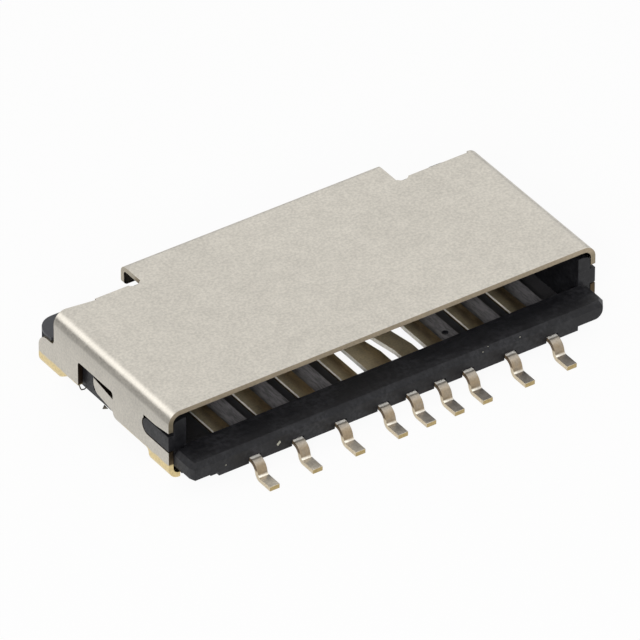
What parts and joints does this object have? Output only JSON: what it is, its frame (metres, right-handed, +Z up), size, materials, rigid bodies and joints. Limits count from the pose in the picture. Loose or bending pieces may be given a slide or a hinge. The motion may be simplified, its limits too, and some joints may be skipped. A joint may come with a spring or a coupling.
{
  "type": "memory card connector",
  "caption": "Low-profile surface-mount connector for a small memory card, with a folded metal shell over a moulded housing, spring contacts and a card-detect contact.",
  "frame": {"origin": "centre of the part's outline, on the board's surface", "axes": "+X across the connector, +Y from the solder leads towards the rear stop, +Z up from the board"},
  "size_m": [0.011, 0.0068, 0.0017],
  "materials": {
    "housing_resin": "black moulded resin, slightly sheened",
    "shell_metal": "satin nickel plate, feet plated gold",
    "contact_metal": "satin plate"
  },
  "bodies": {
    "root": {"housing": "housing_resin", "shell": "shell_metal", "detect_contact": "contact_metal", "contact_1": "contact_metal", "contact_2": "contact_metal", "contact_3": "contact_metal", "contact_4": "contact_metal", "contact_5": "contact_metal", "contact_6": "contact_metal", "contact_7": "contact_metal", "contact_8": "contact_metal"}
  },
  "joints": []
}
